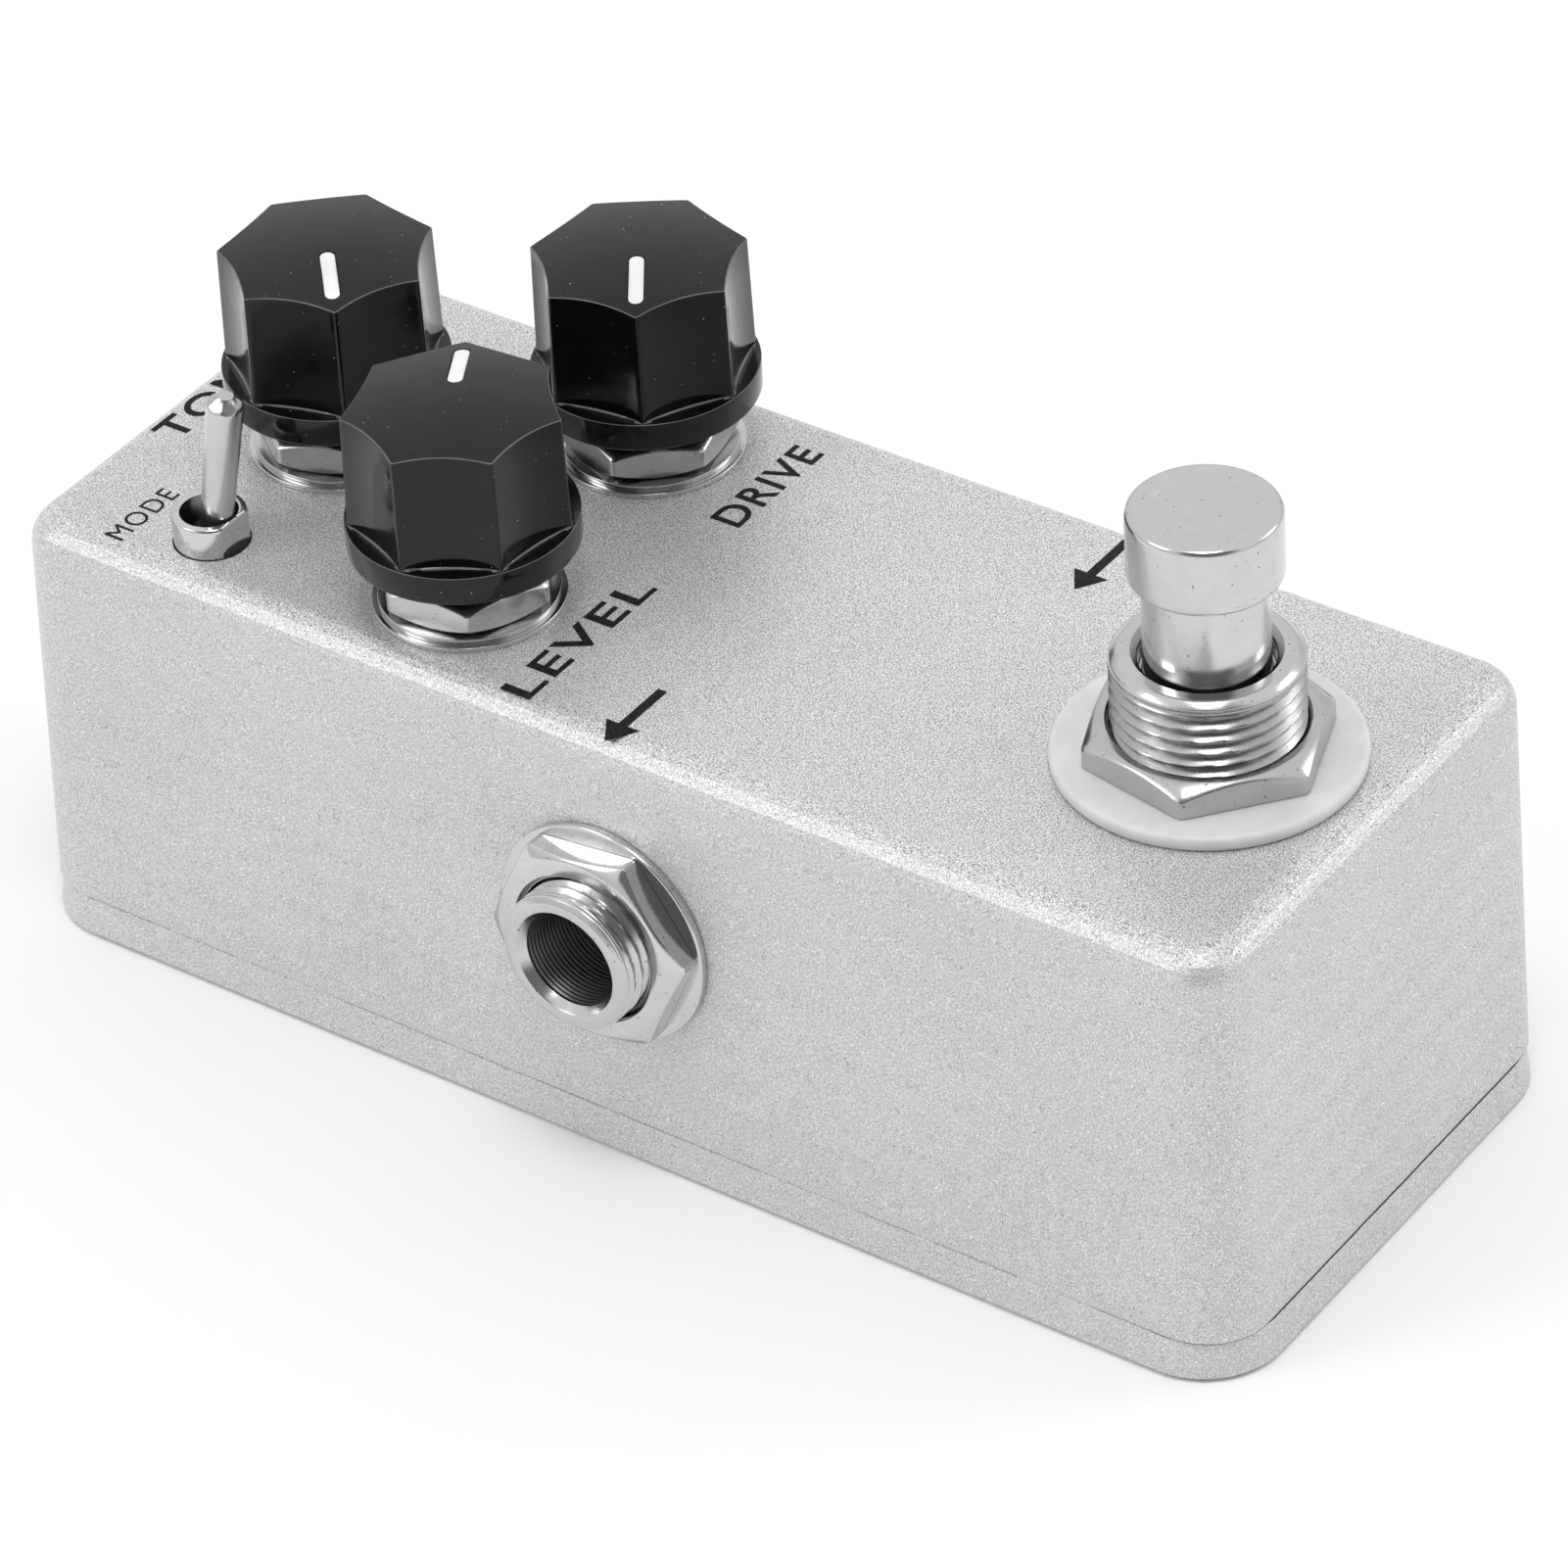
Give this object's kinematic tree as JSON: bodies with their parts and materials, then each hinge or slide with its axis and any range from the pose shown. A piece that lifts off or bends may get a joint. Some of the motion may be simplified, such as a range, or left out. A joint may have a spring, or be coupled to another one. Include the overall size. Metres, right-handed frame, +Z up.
{
  "type": "guitar effects pedal",
  "caption": "Small die-cast effects pedal with fluted control knobs, a bat-lever toggle, a latching footswitch, side jack sockets and a power socket on the end wall.",
  "frame": {"origin": "under the middle of the base plate, on the plane that the pedal rests on", "axes": "+Z up, +Y towards the far end with the knobs and the power socket, -Y towards the footswitch, +X towards the input jack"},
  "size_m": [0.0458, 0.0937, 0.0488],
  "materials": {
    "housing_paint": "silver sparkle powder coat",
    "plate_paint": "silver sparkle powder coat",
    "black_screw_steel": "zinc plated",
    "nickel": "bright nickel",
    "zinc_steel": "zinc plated sheet",
    "knob_plastic": "gloss black",
    "white_inlay": "white inlay",
    "nylon": "milky nylon",
    "blue_plastic": "blue moulded",
    "red_plastic": "red moulded",
    "green_plastic": "green moulded",
    "black_plastic": "black moulded",
    "gold_pins": "tinned",
    "brass": "plain",
    "insulator_board": "phenolic sheet",
    "circuit_board": "green solder mask",
    "capacitor_sleeve": "dark blue sleeve",
    "film_red": "dipped red",
    "resistor_tan": "tan body",
    "wire_jacket": "pvc sleeve",
    "red_wire": "pvc sleeve",
    "ribbon_wire": "grey ribbon",
    "spring_steel": "spring wire"
  },
  "bodies": {
    "case": {"enclosure": "housing_paint", "base_plate": "plate_paint", "base_screws": "black_screw_steel", "output_pot_case": "green_plastic", "gain_pot_case": "green_plastic", "treble_pot_case": "green_plastic", "output_pot_bushing": "nickel", "gain_pot_bushing": "nickel", "treble_pot_bushing": "nickel", "pot_pins": "gold_pins", "pot_washers": "nickel", "pot_nuts": "nickel", "toggle_case": "red_plastic", "toggle_bushing": "nickel", "toggle_terminals": "gold_pins", "footswitch_spring": "spring_steel", "footswitch_bushing": "nickel", "footswitch_nut": "nickel", "footswitch_washer": "nylon", "footswitch_inner_nut": "nickel", "footswitch_lock_washer": "zinc_steel", "footswitch_frame": "zinc_steel", "footswitch_case": "blue_plastic", "footswitch_lugs": "gold_pins", "out_jack_barrel": "nickel", "out_jack_bracket": "zinc_steel", "out_jack_insulators": "insulator_board", "out_jack_tip_contact": "zinc_steel", "in_jack_barrel": "nickel", "in_jack_bracket": "zinc_steel", "in_jack_insulators": "insulator_board", "in_jack_tip_contact": "zinc_steel", "jack_rivets": "brass", "jack_washers": "nickel", "jack_nuts": "nickel", "power_jack_body": "black_plastic", "power_jack_pin": "nickel", "power_jack_nut": "black_plastic", "power_jack_lugs": "gold_pins", "main_board": "circuit_board", "board_chips": "black_plastic", "board_electrolytics": "capacitor_sleeve", "board_film_capacitors": "film_red", "board_resistors": "resistor_tan", "switch_board": "circuit_board", "ribbon_wires": "ribbon_wire", "jack_wires": "wire_jacket", "power_wires": "red_wire"},
    "output_control": {"output_knob": "knob_plastic", "output_knob_pointer": "white_inlay", "output_pot_shaft": "zinc_steel"},
    "gain_control": {"gain_knob": "knob_plastic", "gain_knob_pointer": "white_inlay", "gain_pot_shaft": "zinc_steel"},
    "treble_control": {"treble_knob": "knob_plastic", "treble_knob_pointer": "white_inlay", "treble_pot_shaft": "zinc_steel"},
    "toggle": {"toggle_lever": "nickel"},
    "foot_button": {"footswitch_button": "nickel", "footswitch_plunger": "nylon"}
  },
  "joints": [
    {"name": "output_turn", "type": "hinge", "parent": "case", "child": "output_control", "pos_m": [-0.0096, 0.0148, 0.0308], "axis": [0, 0, 1], "range_deg": [-90.5, 209.5]},
    {"name": "gain_turn", "type": "hinge", "parent": "case", "child": "gain_control", "pos_m": [0.0096, 0.0148, 0.0308], "axis": [0, 0, 1], "range_deg": [-274.5, 25.5]},
    {"name": "treble_turn", "type": "hinge", "parent": "case", "child": "treble_control", "pos_m": [0, 0.0319, 0.0308], "axis": [0, 0, 1], "range_deg": [-282, 18]},
    {"name": "toggle_throw", "type": "hinge", "parent": "case", "child": "toggle", "pos_m": [-0.013, 0.0324, 0.0293], "axis": [1, 0, 0], "range_deg": [-21, 0]},
    {"name": "footswitch_press", "type": "slide", "parent": "case", "child": "foot_button", "axis": [0, 0, -1], "range_m": [0, 0.003], "stiffness_N_per_m": 2500, "springref_m": -0.003, "deforming": ["footswitch_spring"]}
  ]
}
